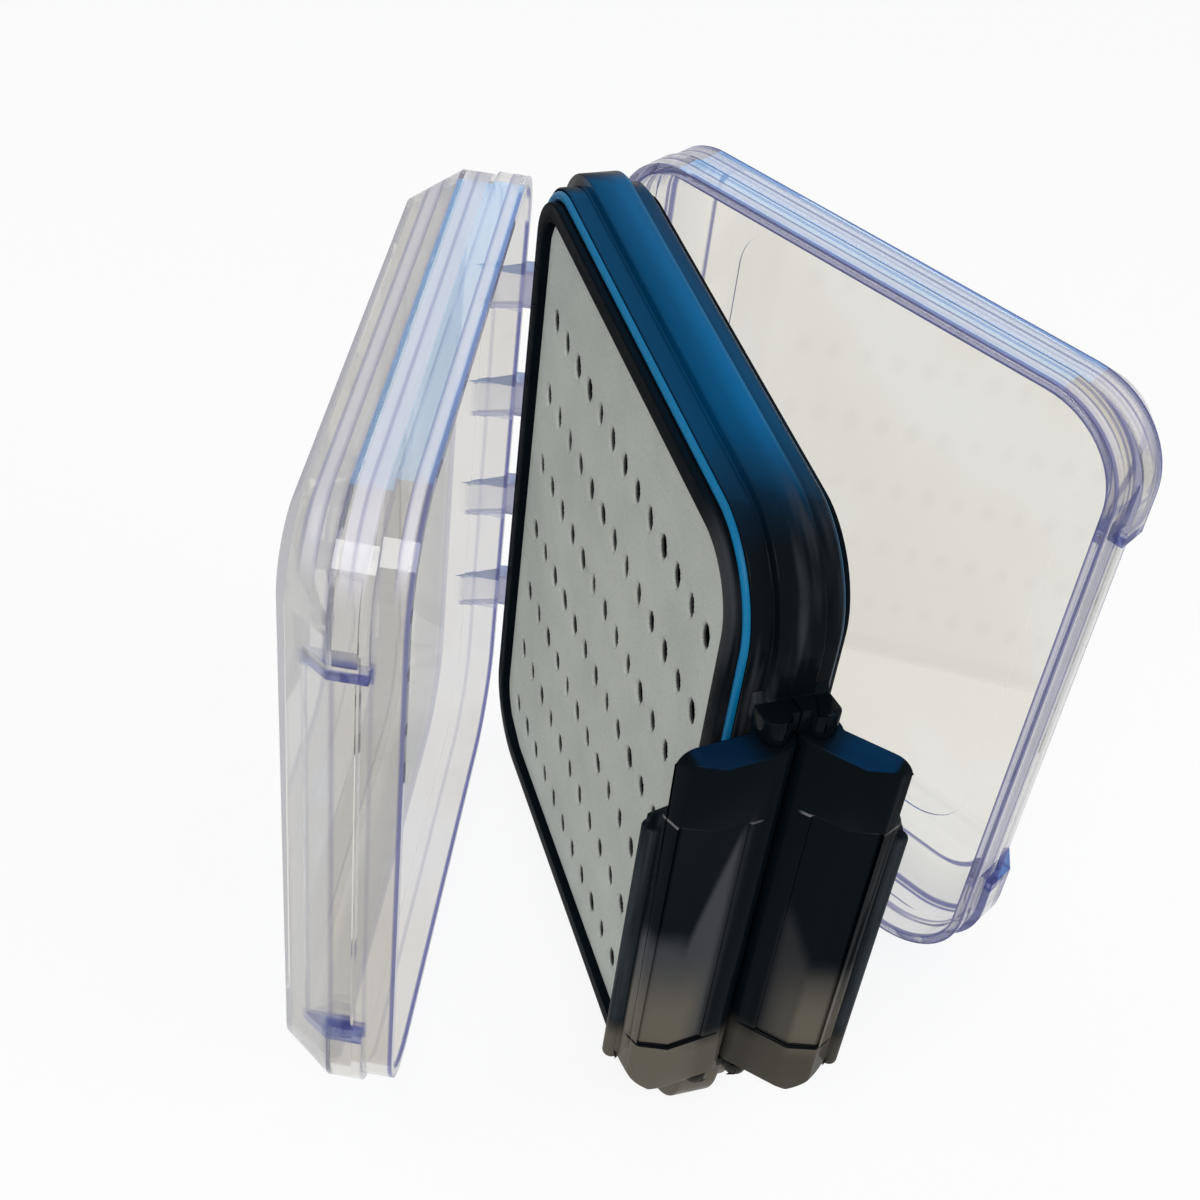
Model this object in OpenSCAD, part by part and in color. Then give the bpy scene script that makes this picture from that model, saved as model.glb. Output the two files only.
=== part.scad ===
// Two-sided fly box standing on its short end.
// A black frame carries a slit foam pad on each side.  A clear lid on each
// side swings on one long hinge pin at the back, and a black latch for each
// lid swings on its own pin at the front.
// Frame of reference: +Z up, +Y to the hinge, +X to the right lid.  The
// origin is the middle of the centre band's lower end, where the box rests.
// Sizes are in millimetres.

/* [Frame] */
// Height of the centre band, which is the length of the box
box_h = 153; // [140:1:175]
// Depth of the centre band from the latch side to the hinge side
box_d = 118; // [106:1:136]
// Corner radius of the centre band
corner_r = 20.5; // [18.5:0.5:24]
// Tighter radius of its upper corner at the hinge
back_r = 16; // [14:0.5:20]
// Width of the centre band between the two flanges
band_w = 7.6; // [6:0.2:9]
// Width over the two seal flanges
flange_w = 14.8; // [13:0.2:15.4]
// Step in from the band to the flange outline
flange_in = 2.2; // [1.6:0.1:2.4]
// Height of the wall round the foam above the foam's face
boss_lip = 1.4; // [0.6:0.1:2]
// Width of the wall round the foam
boss_wall = 3.7; // [2.5:0.1:4.5]
// Thickness of the web between the two pads
web_t = 2.4; // [1.2:0.2:3]

/* [Foam] */
// Thickness of each foam pad
foam_t = 7.1; // [6:0.1:8]
// Slits in a row, across the depth of the box
slit_cols = 13; // [6:1:13]
// Rows of slits, along the height of the box
slit_rows = 7; // [3:1:7]
// Spacing of the slits in a row
slit_pitch = 7.2; // [4:0.1:7.4]
// Spacing of the rows
row_pitch = 17.7; // [8:0.1:18]
// Offset of the pattern's middle below the middle of the pad
row_shift = 4.6; // [0:0.2:5]
// Length of a slit
slit_l = 5; // [2:0.2:6]
// Width of a slit at its middle
slit_w = 2.8; // [0.6:0.2:3.4]
// Depth of a slit
slit_deep = 4; // [1:0.5:5]

/* [Seal] */
// Diameter of the seal ring's cord
ring_d = 1.8; // [1.4:0.1:2]
// How far the seal ring stands out of its groove
seal_out = 0.9; // [0.5:0.1:1.1]
// Gap between the seal ring and the lid's rim when the lid is shut
seal_gap = 0.2; // [0.1:0.05:0.3]

/* [Lids] */
// Height of a lid from its rim to its outer face
lid_h = 21.4; // [19:0.2:26]
// Wall thickness of a lid
lid_wall = 2; // [1.4:0.1:2.2]
// Gap between a lid's wall and the wall round the foam
lid_clear = 0.5; // [0.35:0.05:0.8]
// Height of the thick lip at the rim
lip_h = 5.6; // [4:0.2:6.4]
// Step in from the lip to the wall
lip_step = 0.6; // [0.3:0.1:0.8]
// Height from the rim to the crease where the bevel starts
wall_h = 12.2; // [11:0.2:13]
// Width of the bevel, seen square to the lid's face
bevel_in = 6.7; // [5.5:0.1:8]
// Margin from the bevel's inner edge to the shallow field in the outer face
field_in = 8.5; // [5:0.5:12]
// Corner radius of that field
field_r = 12; // [6:0.5:16]
// Depth of that field
field_deep = 0.4; // [0.2:0.05:0.7]
// How far the left lid stands open
lid_left_open = 24.6; // [0:0.1:90]
// How far the right lid stands open
lid_right_open = 29.7; // [0:0.1:90]

/* [Catch] */
// How far the lid stands out past its lip on the latch side
catch_out = 2.2; // [1.4:0.2:3.4]
// Room in the recess above and below a latch that is in the middle
catch_play = 2.25; // [1.5:0.25:3.5]
// Height of the ridge that the latch hooks behind, from the rim
ridge_h = 8; // [7.6:0.2:8.6]
// Depth of the groove behind the ridge
catch_deep = 1.8; // [1.6:0.1:2.2]

/* [Hinge] */
// Distance of the hinge axis behind the band
hinge_out = 1; // [0.6:0.1:1.6]
// How far the frame's knuckles are rooted in the band
hinge_root = 0.5; // [0.3:0.1:1]
// Diameter of the hinge pin
pin_d = 2; // [1.6:0.1:2.2]
// Outer radius of the knuckles
knuckle_r = 2.4; // [2.1:0.1:2.6]
// Distance from the ends of the box to the ends of a middle row of knuckles
hinge_end = 17.8; // [16:0.2:24]
// Number of hinge arms on each lid
arms = 4; // [2:1:4]
// Drop of the row of knuckles below the middle of the box
hinge_drop = 3; // [0:0.5:4]
// Height of the arms on the lid's back wall, from the rim
arm_h = 10; // [7:0.5:11]
// Thickness of an arm halfway along
arm_t = 3.4; // [2.8:0.1:4]
// Gap between neighbouring knuckles, along the pin
knuckle_gap = 0.4; // [0.2:0.05:0.6]

/* [Latches] */
// Distance from the ends of the box to the ends of a latch in the middle
latch_end = 31.75; // [30:0.25:40]
// Rise of a latch's middle above the middle of the box
latch_up = 0.7; // [0:0.1:1]
// Distance of each latch pin from the middle plane
latch_x = 4; // [3.9:0.05:4.4]
// Gap between the latch knuckle and the band
latch_gap = 0.35; // [0.3:0.05:0.6]
// Outer radius of the latch knuckle
latch_r = 3.7; // [3.3:0.05:3.8]
// Wall thickness of a latch
latch_t = 2; // [1.4:0.1:2.4]
// Height over which the hook's upper end slopes back to the end wall
hook_slope = 8; // [2:0.5:10]
// Width of the flat front of a latch
front_w = 9.5; // [6:0.5:10]
// Reach of the hook past the ridge on the lid
hook_in = 1.3; // [0.8:0.1:1.6]
// Length of the straight hook behind the side wall
hook_l = 1.6; // [1.2:0.1:2]
// How far the side wall stands out past the hook
flank_out = 0.1; // [0:0.1:0.3]
// Sideways play between the hook and the ridge
hook_gap = 0.8; // [0.7:0.1:1.2]
// Height of the plain head at each end of a latch
head_h = 15; // [8:1:20]
// Depth of the finger panel between the heads
panel_deep = 0.8; // [0.2:0.1:1]
// Width of the slanted turn from the flat front to the free edge
turn_w = 4.8; // [3.6:0.2:5]
// Depth of that turn behind the front
turn_d = 2.6; // [1.6:0.1:2.8]
// Depth of the end walls from front to back
head_t = 5.8; // [4:0.2:7.4]
// Rounding of the outer corner at the lower end
low_r = 8; // [4:0.5:10]
// Rounding of the outer corner at the upper end
up_r = 3.4; // [2.6:0.2:6]
// Margin from the latch pin to the panel's edge
panel_in = 3; // [1:0.2:4]
// Radius of the finger bead along a latch's free edge
bead_r = 1.6; // [1.2:0.1:1.8]
// How far the bead stands out past the hook
bead_out = 1.8; // [1:0.1:2.2]
// Distance from the bead's upper end to the latch's upper end
bead_end = 20.5; // [18:0.5:30]
// Height of the bead's lower end above the latch's lower end
bead_up = 5; // [2.5:0.5:6]
// Cut along the front's lower edge
foot_cut = 2; // [0.5:0.1:2.4]
// How far the left latch stands open
latch_left_open = 7; // [7:0.5:90]
// How far the right latch stands open
latch_right_open = 46; // [7:0.5:90]
// Radius of the frame's lugs round the latch pins
lug_r = 2.4; // [2:0.1:2.8]
// Height of the lugs above the latches
lug_l = 5; // [4:0.5:6]
// Height of the lugs below the latches
foot_l = 3; // [2:0.5:4]
// Thickness of the upper lug over the end of its pin
lug_cap = 1.2; // [0.8:0.1:1.6]

/* [Fits] */
// Radial running clearance on the pins
run_gap = 0.05; // [0.03:0.01:0.08]
// Radial clearance of a pin in the frame
press_gap = 0.02; // [0.01:0.01:0.04]
// Gap between pieces that lie against each other
seat_gap = 0.05; // [0.02:0.01:0.1]
// Gap between moving pieces
free_gap = 0.35; // [0.25:0.05:0.5]

/* [Hidden] */
$fn = 64;
// A little more than nothing, so that cuts run past a face
past = 1;
mid_z = box_h / 2;
// Insets from the band's outline
boss_in = flange_in + lid_wall + lid_clear;
foam_in = boss_in + boss_wall;
groove_in = boss_in - ring_d - 2 * seat_gap;
// Distances from the middle plane
foam_x0 = web_t / 2 + seat_gap;
foam_x1 = foam_x0 + foam_t;
boss_x = foam_x1 + boss_lip;
ring_x = flange_w / 2 + seal_out - ring_d / 2;
groove_x = ring_x - ring_d / 2 - seat_gap;
rim_x = flange_w / 2 + seal_out + seal_gap;
lip_x = rim_x + lip_h;
crease_x = rim_x + wall_h;
face_x = rim_x + lid_h;
ridge_x = rim_x + ridge_h;
// Insets on a lid
wall_in = flange_in + lip_step;
face_in = wall_in + bevel_in;
// Hinge line
hinge_y = box_d / 2 + hinge_out;
row_l = box_h - 2 * hinge_end;
hinge_pitch = (row_l + knuckle_gap) / (arms + 1 / 3);
knuckle_l = hinge_pitch / 3 - knuckle_gap;
hinge_z = mid_z - hinge_drop;
pin_r = pin_d / 2;
// Latch line
latch_l = box_h - 2 * latch_end;
catch_l = latch_l + 2 * catch_play;
bead_l = latch_l - bead_up - bead_end;
latch_y = -(box_d / 2 + latch_gap + latch_r);
wall_y = -(box_d / 2 - flange_in);
latch_z0 = mid_z + latch_up - latch_l / 2;
latch_z1 = latch_z0 + latch_l;
lug_z0 = latch_z0 - free_gap - foot_l;
lug_z1 = latch_z1 + free_gap + lug_l;
front_y = latch_y - latch_r;
back_y = front_y + head_t;
hook_x = ridge_x + hook_gap;
tip_x = hook_x + latch_t;
tip_y = wall_y + hook_in;
hook_y = tip_y - hook_l;
turn_x = latch_x + front_w + turn_w;
turn_y = front_y + turn_d;
flank_x = tip_x + flank_out;
flank_y = hook_y - latch_r;
// Shifts of the corners of the latch's plan, as shares of what it is drawn in
bend_in = [0.3, 0.6, 0.7];
// Seat of a pin in the frame
press_r = pin_r + press_gap;
black = [0.05, 0.05, 0.06];
clear = [0.88, 0.92, 0.98, 0.35];

// Corner radii of the band, counted from the upper hinge corner
radii = [back_r, corner_r, corner_r, corner_r];
function side_x(k) = (k == 0 || k == 3) ? 1 : -1;
function side_y(k) = (k < 2) ? 1 : -1;
function before(k) = radii[(k + 3) % 4];

// Rounded rectangle in the plane of the box, inset from the band's outline and
// longer by ext on the latch side
module outline(inset, ext = 0) {
    w = box_d / 2 + ext / 2;
    h = box_h / 2;
    translate([-ext / 2, 0]) difference() {
        square([2 * (w - inset), 2 * (h - inset)], center = true);
        for (k = [0:3]) {
            r = radii[k] - inset;
            translate([side_x(k) * (w - radii[k]), side_y(k) * (h - radii[k])])
                rotate([0, 0, 90 * k]) difference() {
                    square(r + past);
                    circle(r);
                }
        }
    }
}

// Turns a piece drawn flat, with its height along Z, to stand on the +X side
module stand() {
    translate([0, 0, mid_z]) rotate([90, 0, 90]) children();
}

// Flat slab of the inset outline between two distances from the middle plane
module slab(inset, x0, x1, ext = 0) {
    stand() translate([0, 0, x0]) linear_extrude(x1 - x0) outline(inset, ext);
}

// Carries a section round the outline: the section's X is minus the inset from
// the band's outline, its Y the distance from the middle plane
module around(ext = 0) {
    w = box_d / 2 + ext / 2;
    h = box_h / 2;
    translate([-ext / 2, 0, 0]) for (k = [0:3]) {
        out = k % 2 == 0 ? w : h;
        run = 2 * (k % 2 == 0 ? h : w) - radii[k] - before(k);
        translate([side_x(k) * (w - radii[k]), side_y(k) * (h - radii[k])]) rotate([0, 0, 90 * k])
            rotate_extrude(angle = 90) translate([radii[k], 0]) children();
        rotate([0, 0, 90 * k]) translate([out, (before(k) - radii[k]) / 2, 0])
            rotate([90, 0, 0]) linear_extrude(run, center = true) children();
    }
}

// Body with upright sides from x0 to xc and a bevel of width b from there to x1
module pillow(inset, x0, xc, x1, b, ext) {
    slab(inset, x0, xc, ext);
    slab(inset + b + past / 2, xc - past, x1, ext);
    stand() around(ext)
        polygon([[-inset, xc - past], [-inset, xc], [-inset - b, x1], [-inset - b - past, x1],
                 [-inset - b - past, xc - past]]);
}

// Turns a right-hand piece about the hinge line
module swing(a) {
    translate([0, hinge_y, 0]) rotate([0, 0, a]) translate([0, -hinge_y, 0]) children();
}

// Upright cylinder on a line, between two heights
module post(x, y, r, z0, z1) {
    translate([x, y, z0]) cylinder(r = r, h = z1 - z0);
}

// Lower end of knuckle number n in the row along the hinge pin
function knuckle_z(n) = hinge_z - row_l / 2 + n * (knuckle_l + knuckle_gap);

// Knuckles: number 3k is the frame's, 3k+1 the right lid's, 3k+2 the left lid's
function knuckle_of(k, who) = knuckle_z(3 * k + who);

// Half of the frame without its band: the flange with the seal ring's groove
// and the wall round the foam
module side_of_frame() {
    difference() {
        slab(flange_in, 0, flange_w / 2);
        slab(groove_in, groove_x, flange_w / 2 + past);
    }
    difference() {
        slab(boss_in, 0, boss_x);
        slab(foam_in, web_t / 2, boss_x + past);
    }
}

module frame_blank() {
    difference() {
        slab(0, -band_w / 2, band_w / 2);
        slab(foam_in, -band_w, band_w);
    }
    difference() {
        union() {
            side_of_frame();
            mirror([1, 0, 0]) side_of_frame();
        }
        slab(foam_in, web_t / 2, boss_x + past);
        mirror([1, 0, 0]) slab(foam_in, web_t / 2, boss_x + past);
    }
}

// Room in the band for one lid arm; side is 1 for the right lid, -1 for the left
module arm_room(z, side) {
    r = knuckle_r + free_gap;
    z0 = z - knuckle_gap;
    long = knuckle_l + 2 * knuckle_gap;
    post(0, hinge_y, r, z0, z0 + long);
    translate([side > 0 ? 0 : -band_w, hinge_y - r, z0]) cube([band_w, r + past, long]);
}

// A lug that holds one end of a latch pin, with its level face at z0; up is 1
// where the lug rises above the latch and -1 where it hangs below
module lug(side, z0, l, up) {
    band_y = -box_d / 2;
    x0 = free_gap / 2;
    x1 = latch_x + lug_r;
    intersection() {
        translate([side > 0 ? x0 : -x1, 0, z0]) rotate([90, 0, 90])
            linear_extrude(x1 - x0) polygon([[band_y + past, 0], [latch_y - lug_r, 0],
                [latch_y - lug_r, up * l], [band_y, up * (l - band_y + latch_y + lug_r)],
                [band_y + past, up * l]]);
        union() {
            post(side * latch_x, latch_y, lug_r, z0 - box_d, z0 + box_d);
            translate([side > 0 ? x0 : -x1, latch_y, z0 - box_d])
                cube([x1 - x0, band_y + past - latch_y, 2 * box_d]);
        }
    }
}

module frame() {
    color(black) difference() {
        union() {
            difference() {
                frame_blank();
                for (k = [0:arms - 1]) {
                    arm_room(knuckle_of(k, 1), 1);
                    arm_room(knuckle_of(k, 2), -1);
                }
            }
            for (k = [0:arms]) {
                post(0, hinge_y, knuckle_r, knuckle_of(k, 0), knuckle_of(k, 0) + knuckle_l);
                translate([-knuckle_r, hinge_y - hinge_out - hinge_root, knuckle_of(k, 0)])
                    cube([2 * knuckle_r, hinge_out + hinge_root, knuckle_l]);
            }
            for (side = [-1, 1]) {
                lug(side, latch_z1 + free_gap, lug_l, 1);
                lug(side, latch_z0 - free_gap, foot_l, -1);
            }
        }
        post(0, hinge_y, press_r, -past, box_h + past);
        for (side = [-1, 1])
            post(side * latch_x, latch_y, press_r, lug_z0 - past, lug_z1 - lug_cap);
    }
}

// Foam pad on the +X side, with rows of short slits in its face
module foam() {
    difference() {
        slab(foam_in + seat_gap, foam_x0, foam_x1);
        for (i = [0:slit_cols - 1]) for (j = [0:slit_rows - 1]) {
            y = (i - (slit_cols - 1) / 2) * slit_pitch;
            z = mid_z - row_shift + (j - (slit_rows - 1) / 2) * row_pitch;
            translate([foam_x1 - slit_deep, y, z]) rotate([90, 0, 90])
                linear_extrude(slit_deep + past)
                    polygon([[-slit_w / 2, 0], [0, -slit_l / 2], [slit_w / 2, 0], [0, slit_l / 2]]);
        }
    }
}

module foam_right() {
    color([0.62, 0.63, 0.61]) foam();
}

module foam_left() {
    color([0.62, 0.63, 0.61]) mirror([1, 0, 0]) foam();
}

// Seal ring in its groove round the foam's wall
module ring() {
    stand() around() translate([-(boss_in - seat_gap - ring_d / 2), ring_x]) circle(d = ring_d);
}

module ring_right() {
    color([0.1, 0.5, 0.72]) ring();
}

module ring_left() {
    color([0.1, 0.5, 0.72]) mirror([1, 0, 0]) ring();
}

// One hinge arm with its knuckle, on the +X side
module arm(z) {
    reach = rim_x + arm_h;
    low = hinge_y - knuckle_r;
    root = box_d / 2 - wall_in - lid_wall / 2;
    post(0, hinge_y, knuckle_r, z, z + knuckle_l);
    translate([0, 0, z]) linear_extrude(knuckle_l)
        polygon([[0, low], [rim_x + seat_gap, low], [rim_x + seat_gap, root], [reach, root],
                 [reach, root + lid_wall / 2 + seat_gap], [reach / 2, hinge_y + arm_t - knuckle_r],
                 [0, hinge_y + knuckle_r]]);
}

// Room for the latch, kept g clear of the lid's outer surface on every side
module catch_room(g) {
    l = catch_l + 2 * g;
    for (step = [[lip_x, wall_y + g], [ridge_x - g, wall_y + catch_deep + g]])
        translate([step[0], step[1] - box_d, mid_z - l / 2]) cube([lid_h, box_d, l]);
}

// Closed lid on the +X side; who is 1 or 2, the place of its arms in the row
module lid(who) {
    lean = atan(bevel_in / (lid_h - wall_h));
    inner_in = wall_in + lid_wall;
    inner_bevel = bevel_in + lid_wall * (tan(45 - lean / 2) - 1);
    difference() {
        union() {
            difference() {
                union() {
                    slab(flange_in, rim_x, lip_x);
                    slab(wall_in, lip_x - past, lip_x + past);
                    pillow(wall_in, lip_x, crease_x, face_x, bevel_in, catch_out);
                }
                catch_room(0);
            }
            for (k = [0:arms - 1]) arm(knuckle_of(k, who));
        }
        slab(flange_in + lid_wall, rim_x - past, lip_x + lid_wall);
        difference() {
            pillow(inner_in, lip_x + lid_wall, crease_x - lid_wall * tan(lean / 2),
                   face_x - lid_wall, inner_bevel, catch_out);
            catch_room(lid_wall);
        }
        // shallow field in the outer face
        stand() translate([0, 0, face_x - field_deep]) linear_extrude(past) field();
        for (k = [0:arms - 1])
            post(0, hinge_y, pin_r + run_gap, knuckle_of(k, who) - past,
                 knuckle_of(k, who) + knuckle_l + past);
    }
}

// Outline of the shallow field, with its own corner radius
module field() {
    w = box_d / 2 - face_in - field_in;
    h = box_h / 2 - face_in - field_in;
    square([2 * (w - field_r), 2 * h], center = true);
    square([2 * w, 2 * (h - field_r)], center = true);
    for (k = [0:3]) translate([side_x(k) * (w - field_r), side_y(k) * (h - field_r)]) circle(field_r);
}

module lid_right() {
    color(clear) swing(lid_right_open) lid(1);
}

module lid_left() {
    color(clear) mirror([1, 0, 0]) swing(lid_left_open) lid(2);
}

// Outer edge of a shut latch on the +X side, seen from above and drawn in by t,
// from the knuckle along the front to the hook
function skin(t) = [
    [latch_x, front_y + t],
    [latch_x + front_w - bend_in[0] * t, front_y + t],
    [turn_x - bend_in[1] * t, turn_y + bend_in[2] * t],
    [flank_x - t, flank_y + bend_in[0] * t],
    [tip_x - t, hook_y]];

// Whole plan behind that edge
module latch_plan(t) {
    polygon(concat(skin(t), [[latch_x, hook_y]]));
}

// Plan of the wall that runs round to the hook
module hook_plan() {
    polygon(concat(skin(0), [[tip_x, tip_y], [hook_x, tip_y]],
                   [for (i = [4:-1:0]) skin(latch_t)[i]]));
}

// Everything within the latch's outline seen from the front, drawn in by t
module front_outline(t) {
    rotate([90, 0, 0]) linear_extrude(2 * box_d, center = true) difference() {
        translate([-box_d, latch_z0 + t]) square([box_d + flank_x - t, latch_l - 2 * t]);
        for (c = [[latch_z0 + low_r, low_r, 1], [latch_z1 - up_r, up_r, 0]])
            translate([flank_x - c[1], c[0]]) difference() {
                translate([0, -c[2] * (c[1] + past)]) square(c[1] + past);
                circle(c[1] - t);
            }
    }
}

// Shut latch on the +X side
module latch() {
    bead_z = latch_z0 + bead_up;
    difference() {
        union() {
            post(latch_x, latch_y, latch_r, latch_z0, latch_z1);
            intersection() {
                translate([0, 0, latch_z0]) linear_extrude(latch_l) union() {
                    hook_plan();
                    intersection() {
                        latch_plan(0);
                        translate([latch_x, back_y - box_d]) square(box_d);
                    }
                }
                front_outline(0);
            }
            post(tip_x + bead_out - bead_r, hook_y - bead_r / 2, bead_r, bead_z, bead_z + bead_l);
        }
        // finger panel
        translate([0, 0, latch_z0 + head_h]) linear_extrude(latch_l - 2 * head_h) difference() {
            translate([latch_x + panel_in, front_y - past])
                square([turn_x - latch_x - panel_in, turn_y + latch_t + past - front_y]);
            latch_plan(panel_deep);
        }
        // hollow behind the front wall
        intersection() {
            translate([0, 0, latch_z0]) linear_extrude(latch_l) intersection() {
                latch_plan(latch_t);
                translate([latch_x + latch_r + free_gap, front_y]) square(box_d);
            }
            front_outline(latch_t);
        }
        // beyond the bead the side wall is as deep as the end walls
        translate([latch_x + latch_r, 0, 0]) rotate([90, 0, 90]) linear_extrude(box_d) {
            translate([back_y, bead_z - box_d]) square(box_d);
            polygon([[back_y, bead_z + bead_l + hook_slope], [tip_y, bead_z + bead_l],
                     [tip_y + past, bead_z + bead_l], [tip_y + past, box_h], [back_y, box_h]]);
        }
        // sloped lower edge
        translate([-past, 0, latch_z0]) rotate([90, 0, 90]) linear_extrude(box_d)
            polygon([[front_y - past, -past], [front_y - past, foot_cut], [front_y, foot_cut],
                     [front_y + foot_cut, 0], [front_y + foot_cut, -past]]);
        post(latch_x, latch_y, pin_r + run_gap, latch_z0 - past, latch_z1 + past);
    }
}

module latch_at(a) {
    translate([latch_x, latch_y, 0]) rotate([0, 0, -a]) translate([-latch_x, -latch_y, 0]) latch();
}

module latch_right() {
    color(black) latch_at(latch_right_open);
}

module latch_left() {
    color(black) mirror([1, 0, 0]) latch_at(latch_left_open);
}

module hinge_pin() {
    color([0.7, 0.7, 0.72]) post(0, hinge_y, pin_r, hinge_z - row_l / 2, hinge_z + row_l / 2);
}

module latch_pin(side) {
    color([0.7, 0.7, 0.72])
        post(side * latch_x, latch_y, pin_r, lug_z0, lug_z1 - lug_cap - seat_gap);
}

module latch_pin_right() {
    latch_pin(1);
}

module latch_pin_left() {
    latch_pin(-1);
}

frame();
foam_left();
foam_right();
ring_left();
ring_right();
lid_left();
lid_right();
latch_left();
latch_right();
hinge_pin();
latch_pin_left();
latch_pin_right();
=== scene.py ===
"""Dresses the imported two-sided fly box: slit foam pads, clear lids, black frame and latches,
blue seal rings and steel pins."""

import math

import bmesh
import bpy
import numpy as np
from mathutils import Matrix, Vector


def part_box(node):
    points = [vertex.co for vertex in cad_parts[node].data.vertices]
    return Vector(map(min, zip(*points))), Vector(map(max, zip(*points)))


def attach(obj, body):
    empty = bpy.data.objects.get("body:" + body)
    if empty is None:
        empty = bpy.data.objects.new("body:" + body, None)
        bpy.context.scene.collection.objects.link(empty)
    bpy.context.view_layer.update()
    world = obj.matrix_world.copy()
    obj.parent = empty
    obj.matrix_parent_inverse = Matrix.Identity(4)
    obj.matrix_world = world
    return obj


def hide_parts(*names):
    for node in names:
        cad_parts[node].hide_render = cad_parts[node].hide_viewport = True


bl_info = {
    "name": "Two-sided fly box",
    "version": (1, 0, 0),
    "blender": (4, 5, 0),
    "location": "View3D > Sidebar > Fly Box",
    "description": "Finishes and foam pads for an open two-sided fly box",
    "category": "Add Mesh",
}

MM = 0.001
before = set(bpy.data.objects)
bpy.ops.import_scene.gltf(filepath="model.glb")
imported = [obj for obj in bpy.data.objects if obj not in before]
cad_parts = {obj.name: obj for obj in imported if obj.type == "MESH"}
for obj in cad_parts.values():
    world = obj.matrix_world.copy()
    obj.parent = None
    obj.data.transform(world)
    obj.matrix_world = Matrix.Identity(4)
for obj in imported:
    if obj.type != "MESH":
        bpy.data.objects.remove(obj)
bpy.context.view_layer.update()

# Which way each side of the box lies along X.
SIGN = {"right": 1.0, "left": -1.0}

# The joints' upright lines in metres, and how far the box stands open, in degrees.
HINGE = (0.0, 0.060, 0.0)
LID_OPEN = {"right": 29.7, "left": 24.6}
LATCH_PIVOT = (0.004, -0.06305)
LATCH_OPEN = {"right": 46.0, "left": 7.0}

# The foam pads: their slits, their corners (one is tighter), the swell of their face and their
# back edge. No two sample lines lie closer than the smallest step.
SLIT_COLUMNS, SLIT_ROWS = 13, 7
SLIT_POWER = 1.7
SLIT_SEED = 7
PAD_CORNER = 12.05 * MM
HINGE_TOP_CORNER = 7.55 * MM
PAD_SWELL = 0.12 * MM
BACK_EDGE = 0.3 * MM
SMALLEST_STEP = 1.1e-4

# The rounding of the black pieces: distances for merging points, angles in degrees, steps across a
# rounded edge and the share of its width that is left where gaps are narrow.
MERGE = 2e-6
FLAT_TURN = 0.4
SHARP_TURN = 32.0
EDGE_STEPS = 3
NARROW_EDGE = 0.3

# From here on, places in the finishes are in millimetres. The band's outline: half its height, the
# half lengths of its straight parts and the radius of its corners.
MID_HEIGHT = 76.5
STRAIGHT_Y, STRAIGHT_Z = 38.5, 56.0
BAND_CORNER = 20.5

# Lines on the lids, where they get their violet and their painted shade lines, each as (middle,
# half width, soft edge). Those of the rim are measured in from the band's outline, those of the wall
# from the frame's middle plane, and those of the arms from the foot of each arm.
RIM_LINES = ((2.3, 0.15, 0.35), (4.1, 0.15, 0.35))
WALL_LINES = ((11.2, 0.12, 0.25), (17.6, 0.15, 0.3), (23.6, 0.2, 0.4), (26.2, 0.2, 0.4))
PALE_STRIPES = ((17.4, 1.9, 0.4), (10.4, 0.7, 0.3), (24.8, 1.0, 0.4))
ARM_EDGES = ((0.4, 0.35, 0.2), (8.26, 0.35, 0.2))
ARM_START = {"right": 23.87, "left": 32.93}
ARM_PITCH = 27.185

# How strong a lid's haze and its painted shade lines are, and the colour of a painted glow that stands in for
# the light left deep inside it.
LID_HAZE = {"right": 0.08, "left": 0.3}
LID_LINES = {"right": 1.0, "left": 0.35}
LID_DEEP_GLOW = {"right": (0.22, 0.24, 0.44), "left": (0.42, 0.42, 0.47)}
DEEP_RAY = (5.4, 5.6)

# The painted grey reflection on the latches: the height of its upper limit, how fast that rises
# towards the pin, the strength of its cool part and of its foot. Then the strength of the painted
# blue reflection on their tops.
LATCH_SHEEN = {"right": (68.0, 2.2, 0.45, 0.5), "left": (76.0, 4.6, 1.0, 1.0)}
LATCH_TOP_REFLECTION = {"right": 0.8, "left": 0.45}

# The camera that took the photograph: its place in metres, its axes and its focal length.
CAMERA_PLACE = (-0.10731518, -0.23834279, 0.33626103)
CAMERA_RIGHT = Vector((0.95165758, -0.2912549, 0.09756246))
CAMERA_DOWN = Vector((-0.13471483, -0.68121332, -0.71958344))
CAMERA_AHEAD = Vector((0.27604305, 0.67165393, -0.68751817))
FOCAL_PIXELS, PHOTO_PIXELS = 1925.2375, 1200.0
SENSOR = 36.0

# The stage: half the floor's width, its depth below the box, what they give off to the rays that
# show them, and the lamps as (place, size, watts, colour, the rays that meet them).
FLOOR_HALF = 6.0
FLOOR_DROP = 2e-5
FLOOR_GLOW = 0.82
ROOM_LIGHT = 0.5
LAMP_TARGET = Vector((0.0, 0.0, 0.08))
LAMPS = {
    "key": ((-0.9, -1.0, 1.4), (0.9, 0.9), 22.0, (1.0, 1.0, 1.0), ("diffuse", "glossy")),
    "fill": ((1.3, -0.9, 0.9), (1.0, 1.0), 9.0, (1.0, 0.98, 0.96), ("diffuse",)),
    "sky": ((0.32, 0.85, 0.95), (1.1, 0.8), 11.0, (0.01, 0.45, 1.0), ("glossy",)),
}


# ---------------------------------------------------------------- properties


def length(name, description, default):
    return bpy.props.FloatProperty(
        name=name, description=description, default=default,
        min=0.0, subtype="DISTANCE", unit="LENGTH", precision=5,
    )


def colour(name, description, default):
    return bpy.props.FloatVectorProperty(
        name=name, description=description, default=default,
        size=3, min=0.0, max=1.0, subtype="COLOR",
    )


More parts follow.
